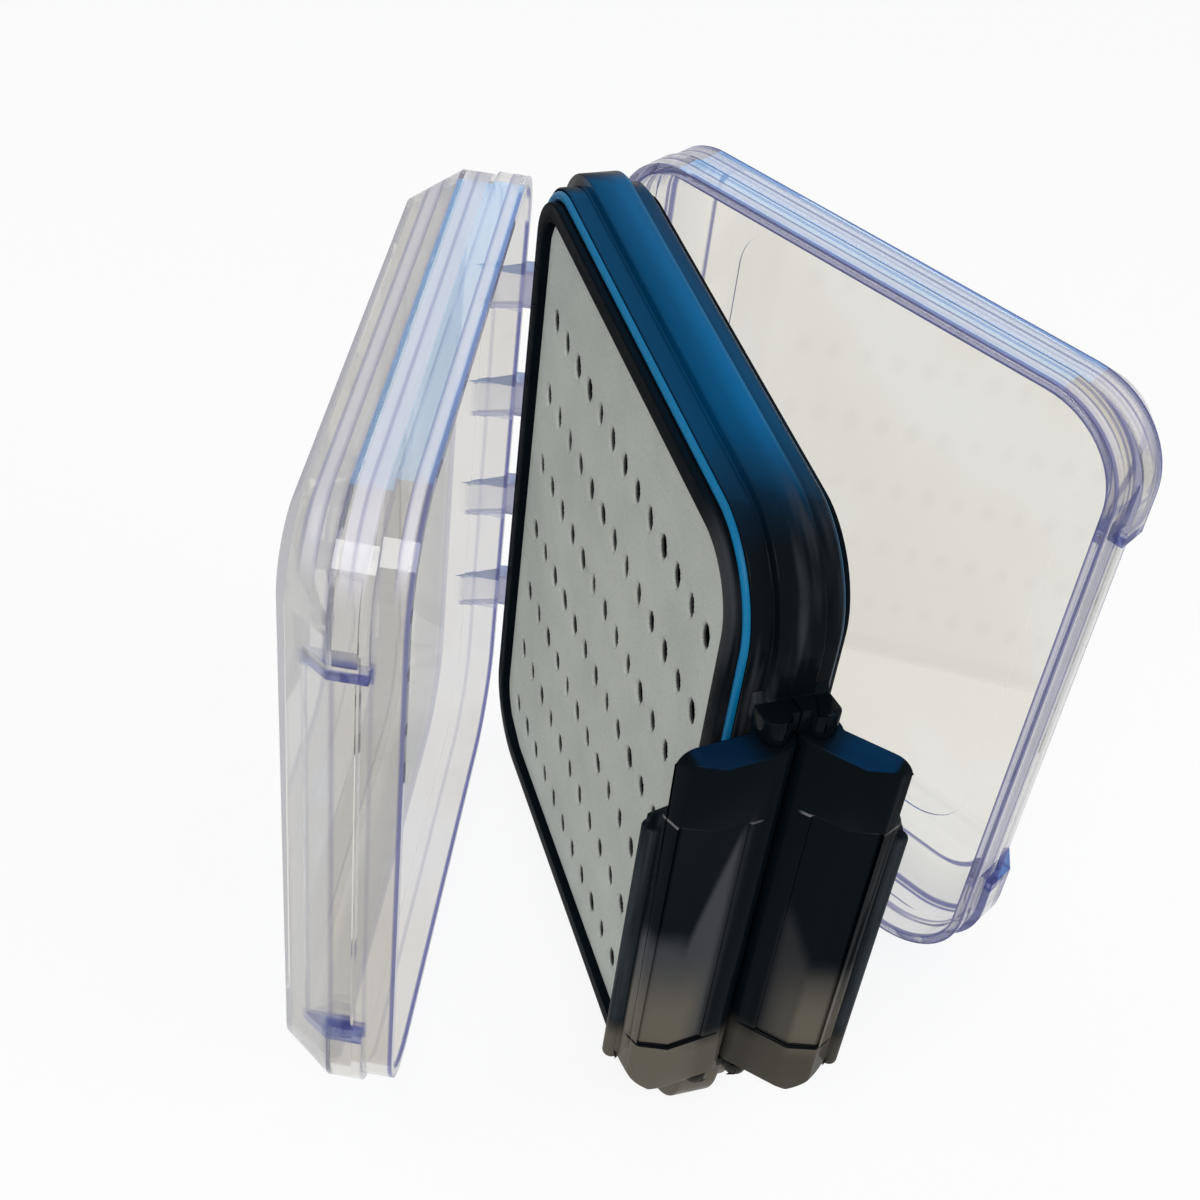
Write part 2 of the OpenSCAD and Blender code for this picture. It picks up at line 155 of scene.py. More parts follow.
class FlyBoxFoam(bpy.types.PropertyGroup):
    """Sizes and colours of the slit foam pads."""

    edge: length("Edge rounding", "Radius of the pad's front edge", 0.7 * MM)
    slit_pitch: length("Slit spacing", "Distance between the slits of a row", 7.2 * MM)
    row_pitch: length("Row spacing", "Distance between the rows of slits", 17.7 * MM)
    row_middle: length("Rows' middle", "Height of the middle row above the base", 71.9 * MM)
    slit_length: length("Slit length", "Length of one slit", 5.4 * MM)
    slit_width: length("Slit width", "Width of one slit at its middle", 3.4 * MM)
    slit_depth: length("Slit depth", "Depth of one slit", 3.2 * MM)
    skin: colour("Foam", "Colour of the foam's face", (0.375, 0.395, 0.362))
    # Painted shade inside the slits.
    cut: colour("Slit", "Colour inside a slit", (0.012, 0.012, 0.011))


class FlyBoxFinish(bpy.types.PropertyGroup):
    """Edge rounding and colours of the moulded, rubber and steel pieces, with the painted reflections,
    highlights and shade laid on them.
    """

    frame_edge: length("Frame edges", "Width of the rounding on the frame's edges", 0.3 * MM)
    latch_edge: length("Latch edges", "Width of the rounding on the latches' edges", 0.45 * MM)
    black: colour("Black", "Colour of the frame and the latches", (0.0022, 0.0042, 0.0060))
    dust: colour("Dust", "Colour of dust and flow marks on the black", (0.03, 0.031, 0.034))
    # Painted reflections on the black: warm grey of the floor low on the latches and the frame's foot, cool
    # grey halfway up the latches and round the frame's upper corner, and streaked light on the latches'
    # flanks.
    sheen: colour("Lower sheen", "Warm grey low on the latches", (0.095, 0.085, 0.067))
    sheen_cool: colour("Middle sheen", "Cool grey halfway up the latches", (0.034, 0.037, 0.042))
    flank_reflection: colour("Flank sheen", "Streaks on the latches' outer sides", (0.020, 0.026, 0.031))
    # A painted highlight under a latch's head.
    glint: colour("Glint", "Bright line under a latch's head", (0.12, 0.12, 0.13))
    # Painted shade in the crease over a latch's foot.
    crease_shade: colour("Groove", "Dark line over a latch's foot", (0.0015, 0.002, 0.003))
    # Painted blue reflection of the sky on a latch's top.
    latch_top_reflection: colour("Latch top", "Blue on the top of a latch", (0.0015, 0.024, 0.070))
    # Painted blue reflection of the sky on the frame's upper faces, and a painted highlight line along the
    # band's edge.
    blue: colour("Blue sheen", "Blue on the frame's upper faces", (0.0006, 0.072, 0.185))
    blue_edge_highlight: colour("Blue line", "Light line along the band's edge", (0.012, 0.115, 0.25))
    seal: colour("Seal", "Colour of the seal rings", (0.0015, 0.133, 0.285))
    lid: colour("Lid", "Tint of a lid's panels", (0.80, 0.775, 0.70))
    lid_smoke: colour("Lid clouds", "Tint of the clouds in a lid's panels", (0.84, 0.83, 0.79))
    # A lid's violet: partly the plastic's own tint where it is thick, partly painted reflection.
    lid_tint_and_reflection: colour("Lid edge", "Tint of a lid's rim and creases", (0.16, 0.17, 0.44))
    lid_mark: colour("Catch ends", "Tint beside the ends of a lid's catch", (0.10, 0.13, 0.46))
    lid_milk: colour("Lid haze", "Colour of the haze in a lid", (0.56, 0.56, 0.565))
    lid_pale: colour("Lid stripes", "Pale stripes on a lid's wall", (0.66, 0.65, 0.70))
    # Painted shade lines along a lid's rim, creases and arm edges.
    lid_shade_line: colour("Lid lines", "Dark lines on a lid", (0.10, 0.105, 0.25))
    lid_spot: colour("Catch spots", "Dark spots at the ends of the catch", (0.03, 0.035, 0.17))
    steel: colour("Steel", "Colour of the pins", (0.55, 0.55, 0.57))


# ------------------------------------------------------------ shader helpers


def shade(tone, factor):
    """The same colour, darker or lighter."""
    return [min(1.0, c * factor) for c in tone]


class Val:
    """A number that varies over a surface; its operators add Math nodes."""

    def __init__(self, tree, socket):
        self.tree = tree
        self.socket = socket

    def _math(self, operation, *values):
        node = self.tree.nodes.new("ShaderNodeMath")
        node.operation = operation
        for socket, value in zip(node.inputs, values):
            if isinstance(value, Val):
                self.tree.links.new(value.socket, socket)
            else:
                socket.default_value = float(value)
        return Val(self.tree, node.outputs[0])

    def __add__(self, other):
        return self._math("ADD", self, other)

    def __sub__(self, other):
        return self._math("SUBTRACT", self, other)

    def __rsub__(self, other):
        return self._math("SUBTRACT", other, self)

    def __mul__(self, other):
        return self._math("MULTIPLY", self, other)

    __rmul__ = __mul__

    def __pow__(self, other):
        return self._math("POWER", self, other)

    def __abs__(self):
        return self._math("ABSOLUTE", self)

    def low(self, other):
        """The lower of the two."""
        return self._math("MINIMUM", self, other)

    def high(self, *others):
        """The highest of all."""
        highest = self
        for other in others:
            highest = self._math("MAXIMUM", highest, other)
        return highest

    def repeat(self, pitch):
        """The rest after taking off whole pitches."""
        return self._math("FLOORED_MODULO", self, pitch)

    def rise(self, a, b):
        """0 below a, 1 above b, smooth between; with a > b it falls instead."""
        node = self.tree.nodes.new("ShaderNodeMapRange")
        node.interpolation_type = "SMOOTHSTEP"
        self.tree.links.new(self.socket, node.inputs["Value"])
        node.inputs["From Min"].default_value = min(a, b)
        node.inputs["From Max"].default_value = max(a, b)
        node.inputs["To Min"].default_value = 0.0 if a < b else 1.0
        node.inputs["To Max"].default_value = 1.0 if a < b else 0.0
        return Val(self.tree, node.outputs["Result"])

    def band(self, centre, half, soft):
        """1 within half of centre, falling to 0 over soft."""
        return abs(self - centre).rise(half + soft, half)

    def bands(self, rows):
        """1 within any of several bands."""
        first, *others = [self.band(*row) for row in rows]
        return first.high(*others)


def shown(tree):
    """1 for the rays that show a surface: from the camera, through clear plastic and off a gloss."""
    rays = tree.nodes.new("ShaderNodeLightPath").outputs
    names = ("Is Camera Ray", "Is Glossy Ray", "Is Transmission Ray")
    seen, gloss, through = [Val(tree, rays[name]) for name in names]
    return seen.high(gloss, through)


class Finish:
    """One material: its tree, its Principled shader and short ways to add nodes."""

    def __init__(self, name, **constants):
        self.material = bpy.data.materials.new(name)
        self.material.use_nodes = True
        self.tree = self.material.node_tree
        self.shader = self.tree.nodes["Principled BSDF"]
        self.surface = self.tree.nodes["Material Output"].inputs["Surface"]
        self.set(**constants)

    def put(self, socket, value):
        """Links or sets a socket; a colour of three numbers is made opaque."""
        if isinstance(value, Val):
            value = value.socket
        if isinstance(value, bpy.types.NodeSocket):
            self.tree.links.new(value, socket)
        elif socket.type == "RGBA" and len(value) == 3:
            socket.default_value = (*value, 1.0)
        else:
            socket.default_value = value

    def set(self, **inputs):
        """Links or sets sockets of the Principled shader; an underscore stands for a space."""
        for key, value in inputs.items():
            self.put(self.shader.inputs[key.replace("_", " ")], value)

    def node(self, kind, inputs=None, **settings):
        """Adds a node: its settings first, then its sockets by name or number."""
        node = self.tree.nodes.new(kind)
        for key, value in settings.items():
            setattr(node, key, value)
        for key, value in (inputs or {}).items():
            self.put(node.inputs[key], value)
        return node

    def place(self):
        """Object coordinates, in metres."""
        return self.node("ShaderNodeTexCoord").outputs["Object"]

    def turned(self, centre, degrees):
        """Object coordinates turned about an upright line through centre."""
        turn = {"Vector": self.place(), "Center": centre, "Angle": math.radians(degrees)}
        return self.node("ShaderNodeVectorRotate", turn, rotation_type="Z_AXIS").outputs["Vector"]

    def xyz(self, vector):
        """The three parts of a vector, in millimetres."""
        parts = self.node("ShaderNodeSeparateXYZ", {"Vector": vector}).outputs
        return [Val(self.tree, part) * 1000.0 for part in parts]

    def noise(self, scale, detail=2.0, rough=0.5, stretch=None):
        """Noise between 0 and 1; scale is in cells to the metre."""
        place = self.place()
        if stretch:
            place = self.node("ShaderNodeVectorMath", {0: place, 1: stretch}, operation="MULTIPLY").outputs[0]
        look = {"Vector": place, "Scale": scale, "Detail": detail, "Roughness": rough}
        return Val(self.tree, self.node("ShaderNodeTexNoise", look).outputs["Fac"])

    def mix(self, a, b, factor):
        """Colour a where factor is 0 and b where it is 1."""
        colours = {0: factor, 6: a, 7: b}
        return self.node("ShaderNodeMix", colours, data_type="RGBA", clamp_factor=True).outputs[2]

    def bump(self, height, distance, strength):
        """Raises the surface's look by height times distance."""
        relief = {"Height": height, "Distance": distance, "Strength": strength}
        self.set(Normal=self.node("ShaderNodeBump", relief).outputs["Normal"])

    def matte(self, tone):
        """A dull shader of this colour, without any reflection."""
        dull = {"Base Color": tone, "Roughness": 0.9, "Specular IOR Level": 0.0}
        return self.node("ShaderNodeBsdfPrincipled", dull)

    def blend(self, factor, other):
        """Lays another shader over what is there so far, where factor is 1."""
        below = self.surface.links[0].from_socket
        layers = {0: factor, 1: below, 2: other.outputs[0]}
        self.put(self.surface, self.node("ShaderNodeMixShader", layers).outputs[0])

    def on(self, *objects):
        for obj in objects:
            obj.data.materials.clear()
            obj.data.materials.append(self.material)


# -------------------------------------------------------------------- pieces


def make_piece(name, points, faces, smooth=True):
    """A piece at the origin from points in metres and faces that point outwards."""
    mesh = bpy.data.meshes.new(name)
    mesh.from_pydata(points.tolist(), [], faces)
    mesh.validate()
    mesh.update()
    mesh.polygons.foreach_set("use_smooth", np.full(len(mesh.polygons), smooth))
    piece = bpy.data.objects.new(name, mesh)
    bpy.context.scene.collection.objects.link(piece)
    return piece


def slit_lines(half, middle, count, pitch, reach, fine, coarse):
    """Sample lines across a pad: fine ones within reach of each slit's middle, coarse ones between."""
    lines = [-half, half, *np.linspace(-half, half, int(2 * half / coarse))]
    for i in range(count):
        slit = middle + (i - (count - 1) / 2) * pitch
        lines += list(slit + np.linspace(-reach, reach, fine))
    lines = np.unique(np.round([line for line in lines if -half <= line <= half], 7))
    kept = [lines[0]]
    for line in lines[1:]:
        if line - kept[-1] > SMALLEST_STEP:
            kept.append(line)
    kept[-1] = half
    return np.array(kept)


def slit_dips(y, z, middle, sizes):
    """How deep the slits are at each point, from 0 to 1: the largest of
    sqrt(max(0, 1 - |(dy - lean dz) / w|^p - |dz / l|^p)) over all slits, where dy and dz lead to a
    slit's middle, w and l are half its width and length, and each of the three differs a little."""
    dips = np.zeros_like(y)
    rng = np.random.default_rng(SLIT_SEED)
    for i in range(SLIT_COLUMNS):
        for j in range(SLIT_ROWS):
            dy = y - (i - (SLIT_COLUMNS - 1) / 2) * sizes.slit_pitch
            dz = z - (middle + (j - (SLIT_ROWS - 1) / 2) * sizes.row_pitch)
            half_width = sizes.slit_width / 2 * rng.uniform(0.85, 1.15)
            half_length = sizes.slit_length / 2 * rng.uniform(0.92, 1.05)
            lean = rng.uniform(-0.06, 0.06)
            across = np.abs((dy - lean * dz) / half_width) ** SLIT_POWER
            along = np.abs(dz / half_length) ** SLIT_POWER
            dips = np.maximum(dips, np.sqrt(np.clip(1 - across - along, 0.0, 1.0)))
    return dips


def pad_outline(y, z, half_y, half_z, inset):
    """Carries a point of the pad's rectangle into its rounded outline, drawn in by inset: a row at
    height z is narrowed to half_y - r + sqrt(r^2 - (|z| - half_z + r)^2) beside a corner of radius r."""
    radius = np.where((y >= 0) & (z >= 0), HINGE_TOP_CORNER, PAD_CORNER) - inset
    drawn = z * (half_z - inset) / half_z
    over = np.clip(np.abs(drawn) - (half_z - inset - radius), 0.0, radius)
    reach = half_y - inset - radius + np.sqrt(np.maximum(radius * radius - over * over, 0.0))
    return y * reach / half_y, drawn


def foam_pad(name, side, sizes):
    """Slit pad with half sizes a and b. Its face is
    x = front - swell (1 - sqrt(cos(pi y / 2a) cos(pi z / 2b))) - depth dips(y, z), its edge is a
    quarter round, and its sides run straight back to the web."""
    low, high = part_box("foam_" + name)
    half_y, half_z = (high.y - low.y) / 2, (high.z - low.z) / 2
    mid_y, mid_z = (high.y + low.y) / 2, (high.z + low.z) / 2
    front, back = (high.x, low.x) if side > 0 else (-low.x, -high.x)
    middle = sizes.row_middle - mid_z
    across = slit_lines(half_y, 0.0, SLIT_COLUMNS, sizes.slit_pitch, sizes.slit_width * 0.62, 15, 2.6 * MM)
    along = slit_lines(half_z, middle, SLIT_ROWS, sizes.row_pitch, sizes.slit_length * 0.6, 17, 3.0 * MM)
    y, z = np.meshgrid(across, along, indexing="ij")
    crown = np.cos(math.pi * y / half_y / 2) * np.cos(math.pi * z / half_z / 2)
    swell = PAD_SWELL * np.sqrt(np.clip(crown, 0.0, 1.0))
    face_x = front - PAD_SWELL + swell - sizes.slit_depth * slit_dips(y, z, middle, sizes)
    face_y, face_z = pad_outline(y, z, half_y, half_z, sizes.edge)
    points = [np.stack([face_x, face_y, face_z], -1).reshape(-1, 3)]
    count = y.size
    grid = np.arange(count).reshape(y.shape)
    quads = [np.stack([grid[:-1, :-1], grid[1:, :-1], grid[1:, 1:], grid[:-1, 1:]], -1).reshape(-1, 4)]

    rim = np.concatenate([grid[:-1, 0], grid[-1, :-1], grid[:0:-1, -1], grid[0, :0:-1]])
    rim_y, rim_z = y.reshape(-1)[rim], z.reshape(-1)[rim]
    rings = []
    for turn in np.linspace(0, math.pi / 2, 5)[1:]:
        drop = sizes.edge * (1 - math.cos(turn))
        rings.append((sizes.edge * (1 - math.sin(turn)), front - PAD_SWELL - drop))
    last = rim
    for inset, x in rings + [(0.0, back + BACK_EDGE), (BACK_EDGE, back)]:
        ring_y, ring_z = pad_outline(rim_y, rim_z, half_y, half_z, inset)
        points.append(np.stack([np.full(rim.size, x), ring_y, ring_z], -1))
        ring = count + np.arange(rim.size)
        quads.append(np.stack([last, ring, np.roll(ring, -1), np.roll(last, -1)], -1))
        count += rim.size
        last = ring
    points.append(np.array([[back, 0.0, 0.0]]))
    points = np.concatenate(points) + [0.0, mid_y, mid_z]
    quads = np.concatenate(quads)
    fan = np.stack([last, np.full(rim.size, count), np.roll(last, -1)], -1)
    if side < 0:
        points[:, 0] *= -1
        quads, fan = quads[:, ::-1], fan[:, ::-1]
    return make_piece("slit_pad_" + name, points, quads.tolist() + fan.tolist())


def edge_turns(mesh):
    """The angle between the faces at each edge, in degrees, and each edge's middle, in millimetres."""
    count = len(mesh.polygons)
    normals = np.empty(count * 3)
    mesh.polygons.foreach_get("normal", normals)
    corners = np.empty(count, dtype=int)
    mesh.polygons.foreach_get("loop_total", corners)
    of_loop = np.empty(len(mesh.loops), dtype=int)
    mesh.loops.foreach_get("edge_index", of_loop)
    faces = np.repeat(np.arange(count), corners)[np.argsort(of_loop, kind="stable")].reshape(-1, 2)
    normals = normals.reshape(-1, 3)
    cosine = np.clip(np.sum(normals[faces[:, 0]] * normals[faces[:, 1]], axis=1), -1.0, 1.0)
    ends = np.empty(len(mesh.edges) * 2, dtype=int)
    mesh.edges.foreach_get("vertices", ends)
    points = np.empty(len(mesh.vertices) * 3)
    mesh.vertices.foreach_get("co", points)
    middles = points.reshape(-1, 3)[ends.reshape(-1, 2)].mean(axis=1)
    return np.degrees(np.arccos(cosine)), middles * 1000.0


def tight_places(middles):
    """Which of the frame's edges lie between the latch lugs or round the hinge knuckles."""
    x, y, z = middles.T
    between_lugs = (y < -58.9) & (np.abs(x) < 3.6)
    round_knuckles = (y > 55.0) & (np.abs(z - 73.5) < 62.0)
    return between_lugs | round_knuckles


def rounded_copy(node, width, body):
    """A copy of a CAD node with its doubles merged, its flat faces joined and its sharp edges
    bevelled, more narrowly where the frame leaves little room."""
    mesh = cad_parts[node].data.copy()
    work = bmesh.new()
    work.from_mesh(mesh)
    bmesh.ops.remove_doubles(work, verts=work.verts, dist=MERGE)
    bmesh.ops.dissolve_limit(work, angle_limit=math.radians(FLAT_TURN), verts=work.verts, edges=work.edges)
    work.to_mesh(mesh)
    work.free()
    mesh.polygons.foreach_set("use_smooth", np.ones(len(mesh.polygons), dtype=bool))
    turns, middles = edge_turns(mesh)
    narrow = tight_places(middles) & (node == "frame")
    weights = np.where(turns > SHARP_TURN, np.where(narrow, NARROW_EDGE, 1.0), 0.0)
    mesh.attributes.new("bevel_weight_edge", "FLOAT", "EDGE").data.foreach_set("value", weights)
    piece = bpy.data.objects.new("rounded_" + node, mesh)
    bpy.context.scene.collection.objects.link(piece)
    edges = piece.modifiers.new("edges", "BEVEL")
    edges.width = width
    edges.segments = EDGE_STEPS
    edges.limit_method = "WEIGHT"
    edges.use_clamp_overlap = False
    edges.harden_normals = True
    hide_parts(node)
    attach(piece, body)
    return piece


# ------------------------------------------------------------------ finishes


def foam_finish(sizes):
    """Grey closed cells with a slow mottle, with painted shade inside the slits."""
    f = Finish("slit foam")
    x = f.xyz(f.place())[0]
    # Below the face, inside a slit: where the painted shade goes.
    inside = abs(x).rise(8.05, 7.6)
    cells = f.noise(2600.0, 3.0, 0.65)
    mottle = f.noise(60.0)
    spread = (cells * 0.6 + mottle * 0.4).rise(0.3, 0.7)
    tone = f.mix(shade(sizes.skin, 0.86), shade(sizes.skin, 1.12), spread)
    f.set(Base_Color=f.mix(tone, sizes.cut, inside), Roughness=cells * 0.12 + 0.82)
    f.bump(cells + f.noise(900.0) * 0.6, 0.12 * MM, 0.7)
    return f


def moulded_black(f, tone, sizes):
    """Glossy black moulding: faint flow marks, fine scratches and specks of dust."""
    flow = f.noise(38.0, 3.0, 0.6, stretch=(1.0, 1.0, 0.35))
    fine = f.noise(1500.0, stretch=(1.0, 1.0, 0.08))
    dust = f.noise(3800.0, 1.0).rise(0.72, 0.78)
    f.set(
        Base_Color=f.mix(tone, sizes.dust, dust * 0.4 + flow.rise(0.55, 0.8) * 0.06),
        Roughness=flow * 0.08 + fine * 0.05 + dust * 0.3 + 0.09,
        IOR=1.5, Specular_IOR_Level=0.07,
    )
    f.bump(flow + fine * 0.05, 0.06 * MM, 0.35)


def frame_finish(sizes):
    """Black, with a painted blue reflection of the sky on the band's upper faces, a painted warm
    reflection of the floor on its foot and painted cool streaked reflections round the upper front
    corner. The blue is deepest at the left edge of the raised middle, which ends at 3.9."""
    f = Finish("frame black")
    x, y, z = f.xyz(f.place())
    u = abs(x)
    # Painted blue reflection of the sky on the band's upper faces, lightest towards the right of the raised
    # middle, with a painted highlight line near its right edge.
    upper = u.rise(7.6, 7.3) * y.rise(50.0, 44.5)
    top = z.rise(143.0, 151.0) * y.rise(-52.0, -20.0) * upper * (1.0 - u.rise(3.8, 4.4) * 0.4)
    glow = f.noise(260.0, stretch=(1.0, 0.04, 0.04)).rise(0.3, 0.7)
    light = (x.rise(-4.2, 3.6) * 0.8 + glow * 0.2) * u.rise(4.6, 3.9)
    blue = f.mix(shade(sizes.blue, 0.42), shade(sizes.blue, 1.45), light)
    blue = f.mix(blue, shade(sizes.blue, 0.85), u.rise(3.9, 4.6))
    blue = f.mix(blue, sizes.blue_edge_highlight, x.band(3.35, 0.12, 0.25))
    # Painted warm reflection of the floor on the frame's foot, and painted cool streaked reflections round
    # its upper front corner.
    foot = z.rise(34.0, 22.0) * y.rise(-40.0, -52.0)
    reflection_streaks = f.noise(300.0, rough=0.6, stretch=(1.0, 0.1, 0.1)).rise(0.45, 0.75)
    bend = y.rise(-34.0, -48.0) * y.rise(-59.6, -59.1) * z.rise(100.0, 118.0) * reflection_streaks
    tone = f.mix(f.mix(sizes.black, blue, top), sizes.sheen, foot)
    tone = f.mix(tone, sizes.sheen_cool, bend * 0.9)
    moulded_black(f, tone, sizes)
    f.blend(u.rise(7.6, 8.2) * 0.25 + 0.6, f.matte(tone))
    return f


def latch_finish(side, sizes):
    """Black, with a painted grey reflection on the lower part: its upper limit runs level round the
    turned edge and rises across the flat front to the pin. A painted highlight lies under the head,
    painted shade in the crease over the foot and a painted blue reflection on the top."""
    f = Finish("latch black " + side)
    pivot = (SIGN[side] * LATCH_PIVOT[0], LATCH_PIVOT[1], 0.0)
    x, y, z = f.xyz(f.turned(pivot, SIGN[side] * LATCH_OPEN[side]))
    u = abs(x)
    front = y.rise(-60.0, -61.0)
    # Painted grey reflection on the lower front, cool above and warm towards the turned edge and the foot.
    level, slope, strength, foot_share = LATCH_SHEEN[side]
    limit = (13.5 - u).high(0.0) * slope + level
    cloud = f.noise(90.0, stretch=(1.0, 1.0, 0.3)) * 8.0 - 4.0
    low = (z - limit + cloud).rise(4.0, -4.0) * u.rise(6.0, 8.5) * front
    foot = z.rise(50.0, 43.0)
    warm = z.rise(74.0, 54.0) * (u.rise(12.5, 14.0) * (1.0 - foot_share) + foot_share * u.rise(6.0, 12.0))
    grey = f.mix(shade(sizes.sheen_cool, strength), sizes.sheen, warm)
    tone = f.mix(sizes.black, grey, low)
    # Painted warm reflection of the floor low on the foot.
    tone = f.mix(tone, shade(sizes.sheen, foot_share), foot * 0.85)
    # Painted streaked reflections on the flanks.
    reflection_streaks = f.noise(420.0, rough=0.6, stretch=(1.0, 1.0, 0.05)).rise(0.35, 0.65)
    flank_reflection = u.rise(19.0, 20.0) * z.rise(106.5, 105.5) * reflection_streaks
    tone = f.mix(tone, sizes.flank_reflection, flank_reflection * z.rise(46.0, 52.0))
    # A painted highlight under the head.
    broken = f.noise(160.0).rise(0.34, 0.5)
    tone = f.mix(tone, sizes.glint, z.band(106.65, 0.16, 0.25) * u.rise(4.5, 6.0) * front * broken)
    # Painted shade in the crease over the foot.
    tone = f.mix(tone, sizes.crease_shade, z.band(47.3, 0.28, 0.2) * u.band(11.5, 7.5, 0.5) * front)
    # Painted blue reflection of the sky on the top.
    tone = f.mix(tone, sizes.latch_top_reflection, z.rise(121.5, 121.9) * u.rise(5.0, 11.0) * LATCH_TOP_REFLECTION[side])
    moulded_black(f, tone, sizes)
    f.blend(0.8 - low * 0.25, f.matte(tone))
    return f


def corner_reach(y, z):
    """How far a point lies outside the rectangle between the middles of the band's corners."""
    past_y, past_z = (abs(y) - STRAIGHT_Y).high(0.0), (abs(z - MID_HEIGHT) - STRAIGHT_Z).high(0.0)
    return (past_y ** 2 + past_z ** 2) ** 0.5


def inset_from_band(y, z):
    """How far in from the band's outline a point lies, in millimetres."""
    within = (abs(y) - STRAIGHT_Y).high(abs(z - MID_HEIGHT) - STRAIGHT_Z).low(0.0)
    return BAND_CORNER - corner_reach(y, z) - within


def lid_finish(side, sizes):
    """Clear moulding with a faint cream tint, violet along its rim, its steps and creases and the edges
    of its arms: partly its own tint where it is thick, partly painted reflection, with painted shade
    lines over them. Haze lies on its slope and its rim, pale stripes high on its wall and on its arms,
    and spots beside the ends of its catch. Deep inside, a painted glow stands in for the light."""
    f = Finish("clear lid " + side, IOR=1.46, Transmission_Weight=1.0)
    x, y, z = f.xyz(f.turned(HINGE, -SIGN[side] * LID_OPEN[side]))
    u = abs(x)
    inset = inset_from_band(y, z)
    upper = z.rise(136.0, 148.0)
    arms = y.rise(56.6, 57.3) * u.rise(19.0, 18.0)
    arm_edges = (z - ARM_START[side]).repeat(ARM_PITCH).bands(ARM_EDGES) * arms

    # The violet: partly the plastic's own tint where it is thick, partly painted reflection along the rim,
    # steps, creases and arms.
    rim = u.rise(9.3, 8.6)
    rim_lines = u.rise(9.6, 9.0) * inset.bands(RIM_LINES)
    step = u.band(14.1, 0.2, 0.4) * 0.7
    crease = u.band(20.7, 0.2, 0.5) * inset.rise(8.0, 5.0)
    face_edge = u.rise(28.6, 29.2) * inset.band(9.4, 0.3, 0.6)
    wall_lines = step.high(crease, face_edge) * LID_LINES[side]
    upper_lines = u.bands(WALL_LINES) * upper * inset.rise(9.5, 8.5)
    bend = corner_reach(y, z).rise(12.0, 18.0) * 0.12
    edge = rim_lines.high(rim * 0.6, wall_lines, bend, upper_lines * 0.8)
    edge = edge.high(arms * 0.12, arm_edges * 0.55).low(1.0)

    marks = abs(z - MID_HEIGHT).band(47.6, 1.5, 0.5) * y.rise(-54.0, -55.5) * u.rise(13.2, 14.2)
    smoke = f.noise(22.0)
    panel = f.mix(sizes.lid, sizes.lid_smoke, smoke.rise(0.35, 0.7))
    tint = f.mix(f.mix(panel, sizes.lid_tint_and_reflection, edge), sizes.lid_mark, marks)
    scuffs = f.noise(420.0, 3.0, 0.6, stretch=(1.0, 1.0, 0.3)).rise(0.62, 0.8)
    f.set(Base_Color=tint, Roughness=scuffs * 0.05 + 0.015)

    slope = u.rise(20.5, 22.0) * inset.rise(10.5, 8.5)
    haze = slope * LID_HAZE[side] + rim * 0.12 + smoke * 0.03
    f.blend(haze.low(0.8), f.matte(sizes.lid_milk))
    pale = u.bands(PALE_STRIPES) * upper
    f.blend(pale.high(arms * 0.6) * 0.5, f.matte(sizes.lid_pale))
    # Painted shade lines along the rim, the creases and the arms' edges.
    dark_lines = rim_lines.high(wall_lines, upper_lines) * LID_LINES[side]
    f.blend(dark_lines.high(arm_edges * 0.6) * 0.5, f.matte(sizes.lid_shade_line))
    spots = marks * u.rise(19.0, 18.0) * f.noise(330.0, 1.0).rise(0.42, 0.54)
    f.blend(spots * 0.5, f.matte(sizes.lid_spot))

    # Rays deep inside a lid end in a painted glow instead of going dark.
    rays = f.node("ShaderNodeLightPath").outputs
    deep = Val(f.tree, rays["Ray Depth"]).rise(*DEEP_RAY)
    f.blend(deep, f.node("ShaderNodeEmission", {"Color": LID_DEEP_GLOW[side], "Strength": 1.0}))
    f.blend(rays["Is Shadow Ray"], f.node("ShaderNodeBsdfTransparent", {"Color": (0.93, 0.93, 0.95)}))
    return f


def seal_finish(sizes):
    """Soft blue rubber. The outer side of the right ring is darkened by painted shade, where the photograph
    shows none.
    """
    f = Finish("seal rubber", IOR=1.5, Specular_IOR_Level=0.15)
    x, y, z = f.xyz(f.place())
    grain = f.noise(1800.0)
    slow = f.noise(45.0)
    # Painted shade on the right ring's outer side.
    outer = inset_from_band(y, z).rise(3.3, 3.0) * x.rise(-1.0, 1.0)
    tone = f.mix(shade(sizes.seal, 0.8), shade(sizes.seal, 1.15), slow * 0.6 + grain * 0.4)
    f.set(Base_Color=f.mix(tone, sizes.black, outer * 0.9), Roughness=grain * 0.15 + 0.34)
    f.bump(grain, 0.04 * MM, 0.5)
    return f


def steel_finish(sizes):
    """Drawn steel with fine lines along the pin."""
    f = Finish("drawn steel", Metallic=1.0)
    lines = f.noise(5200.0, rough=0.6, stretch=(1.0, 1.0, 0.03))
    f.set(Base_Color=f.mix(shade(sizes.steel, 0.75), sizes.steel, lines), Roughness=lines * 0.2 + 0.2)
    f.bump(lines, 0.02 * MM, 0.4)
    return f


# ----------------------------------------------------------------- operators


class FLYBOX_OT_foam(bpy.types.Operator):
    """Makes the two slit foam pads in place of their plain solids"""

    bl_idname = "flybox.foam"
    bl_label = "Foam pads"

    def execute(self, context):
        sizes = context.scene.flybox_foam
        finish = foam_finish(sizes)
        for name, side in SIGN.items():
            pad = foam_pad(name, side, sizes)
            finish.on(pad)
            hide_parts("foam_" + name)
            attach(pad, "frame_body")
        return {"FINISHED"}


class FLYBOX_OT_frame(bpy.types.Operator):
    """Rounds and finishes the black centre frame"""

    bl_idname = "flybox.frame"
    bl_label = "Frame"

    def execute(self, context):
        sizes = context.scene.flybox_finish
        frame_finish(sizes).on(rounded_copy("frame", sizes.frame_edge, "frame_body"))
        return {"FINISHED"}


